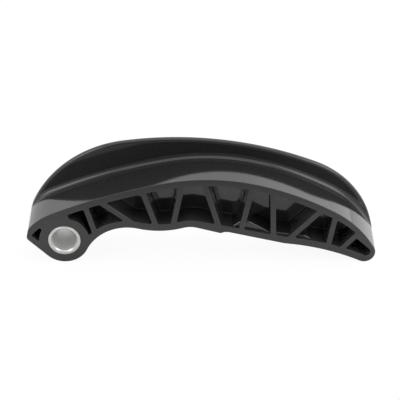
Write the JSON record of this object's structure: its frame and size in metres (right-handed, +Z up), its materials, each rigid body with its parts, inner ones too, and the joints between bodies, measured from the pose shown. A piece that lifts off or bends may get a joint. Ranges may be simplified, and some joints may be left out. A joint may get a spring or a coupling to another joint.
{
  "type": "timing chain guide",
  "caption": "Moulded guide rail for an engine timing chain: arched running face, crescent guard wall on one side, ribbed lattice under it and a metal pivot sleeve.",
  "frame": {"origin": "under the middle of the part's box, on the surface that the boss and the nose stand on", "axes": "+X along the rail from the pivot to the nose, +Y from the open near face to the guard wall, +Z up towards the running face"},
  "size_m": [0.1542, 0.0234, 0.0509],
  "materials": {
    "black_engine_plastic": "glossy as moulded, glass-filled PA66",
    "plain_steel": "fine turned"
  },
  "bodies": {
    "root": {"rail_body": "black_engine_plastic", "pivot_sleeve": "plain_steel"}
  },
  "joints": []
}
